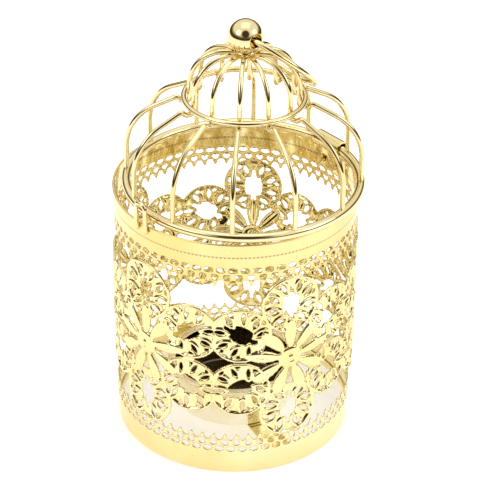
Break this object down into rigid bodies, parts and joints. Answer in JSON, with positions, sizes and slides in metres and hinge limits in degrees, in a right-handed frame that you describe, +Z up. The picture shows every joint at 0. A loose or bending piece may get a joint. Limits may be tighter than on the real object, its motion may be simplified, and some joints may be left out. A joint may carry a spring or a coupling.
{
  "type": "bird cage tea light lantern",
  "caption": "Pierced sheet cylinder with stamped flowers, a cup for a tea light and a hinged wire dome with a ball finial, a hanging ring and a latch loop.",
  "frame": {"origin": "on the surface that the lantern stands on, at the axis of its cylindrical body", "axes": "+Z up along the body's axis, -Y towards the side that has the latch half-left of its middle and the lid's hinge behind on the right"},
  "size_m": [0.0825, 0.0813, 0.1466],
  "materials": {
    "stamped_sheet": "mirror gold plating on stamped iron sheet",
    "cup_sheet": "bright gold plating on a drawn cup",
    "wire": "mirror gold plating on iron wire",
    "turned": "mirror gold plating on turned metal"
  },
  "bodies": {
    "cage": {"bottom_band": "stamped_sheet", "top_band": "stamped_sheet", "flower_panel_1": "stamped_sheet", "flower_panel_2": "stamped_sheet", "flower_panel_3": "stamped_sheet", "flower_panel_4": "stamped_sheet", "flower_panel_5": "stamped_sheet", "candle_cup": "cup_sheet", "cup_strap": "stamped_sheet", "hinge_strap": "stamped_sheet", "hinge_rivets": "turned"},
    "lid": {"lid_base_ring": "wire", "rib_01": "wire", "rib_02": "wire", "rib_03": "wire", "rib_04": "wire", "rib_05": "wire", "rib_06": "wire", "rib_07": "wire", "rib_08": "wire", "rib_09": "wire", "rib_10": "wire", "rib_11": "wire", "rib_12": "wire", "lid_mid_ring": "wire", "crown_boss": "turned", "finial_ball": "turned"},
    "hang_ring": {"hang_ring": "wire"},
    "latch": {"latch_loop": "wire"}
  },
  "joints": [
    {"name": "lid_hinge", "type": "hinge", "parent": "cage", "child": "lid", "pos_m": [0.03166, 0.02395, 0.0904], "axis": [-0.6428, 0.766, 0], "range_deg": [0, 165]},
    {"name": "ring_swing", "type": "hinge", "parent": "lid", "child": "hang_ring", "pos_m": [0.0024, -0.0006, 0.1409], "axis": [0.6428, -0.766, 0], "range_deg": [0, 264]},
    {"name": "latch_tilt", "type": "hinge", "parent": "cage", "child": "latch", "pos_m": [-0.02874, -0.02775, 0.0866], "axis": [0.6947, -0.7193, 0], "range_deg": [0, 25]}
  ]
}
